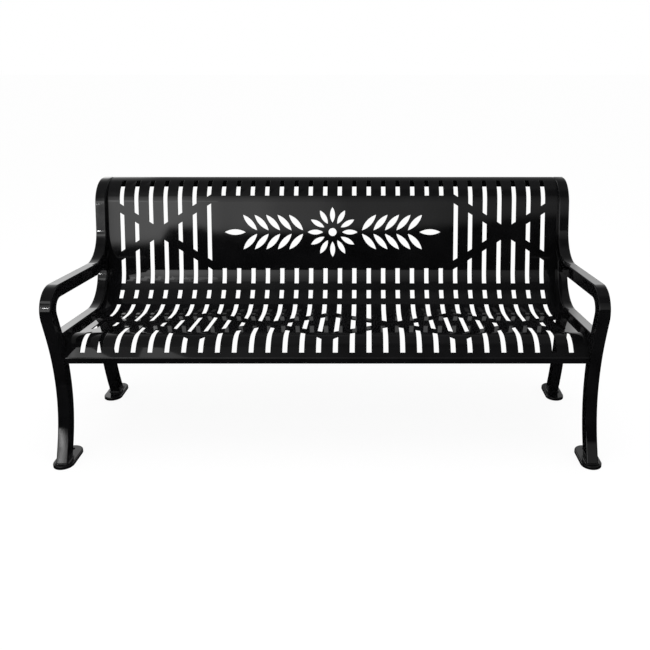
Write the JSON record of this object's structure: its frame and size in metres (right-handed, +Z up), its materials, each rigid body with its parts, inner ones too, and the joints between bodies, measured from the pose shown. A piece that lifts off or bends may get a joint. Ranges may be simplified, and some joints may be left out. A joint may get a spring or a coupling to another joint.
{
  "type": "memorial bench",
  "caption": "Outdoor bench with a one-piece slotted steel seat and back, a pierced leaf ornament in the back, curved tube arms and legs, and bolt-down foot plates.",
  "frame": {"origin": "on the ground, under the middle of the bench's box", "axes": "+X along the bench, from a sitter's right end to their left end; +Y from the front to the back; +Z up"},
  "size_m": [1.9122, 0.7552, 0.8931],
  "materials": {
    "panel_coat": "gloss black powder coat",
    "frame_coat": "gloss black powder coat",
    "foot_coat": "gloss black powder coat",
    "zinc_fixings": "zinc-plated steel"
  },
  "bodies": {
    "root": {"seat_back_panel": "panel_coat", "end_plate_left": "frame_coat", "end_plate_right": "frame_coat", "arm_tube_left": "frame_coat", "arm_tube_right": "frame_coat", "seat_rail_left": "frame_coat", "seat_rail_right": "frame_coat", "rear_leg_left": "frame_coat", "rear_leg_right": "frame_coat", "front_foot_left": "foot_coat", "front_foot_right": "foot_coat", "rear_foot_left": "foot_coat", "rear_foot_right": "foot_coat", "top_cap_left": "frame_coat", "top_cap_right": "frame_coat", "frame_bolts_left": "zinc_fixings", "frame_bolts_right": "zinc_fixings", "lock_nuts_left": "zinc_fixings", "lock_nuts_right": "zinc_fixings", "washers_left": "zinc_fixings", "washers_right": "zinc_fixings"}
  },
  "joints": []
}
